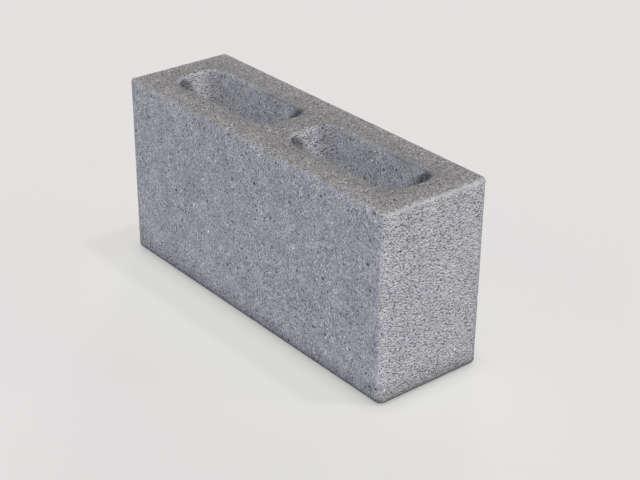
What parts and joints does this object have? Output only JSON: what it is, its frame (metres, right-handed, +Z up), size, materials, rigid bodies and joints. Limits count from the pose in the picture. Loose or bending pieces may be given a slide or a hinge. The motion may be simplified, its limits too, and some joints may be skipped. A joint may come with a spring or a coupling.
{
  "type": "hollow concrete block",
  "caption": "Rectangular hollow concrete masonry block with plain ends, rounded edges and rounded through cores, laid in mortar to build walls.",
  "frame": {"origin": "middle of the lower bed, on the floor that the block stands on", "axes": "+X along the length, +Y across the width, +Z up from the lower bed to the upper bed"},
  "size_m": [0.39, 0.12, 0.19],
  "materials": {
    "concrete": "open-textured cast concrete, matt, grey, with fine light and dark aggregate"
  },
  "bodies": {
    "root": {"block": "concrete"}
  },
  "joints": []
}
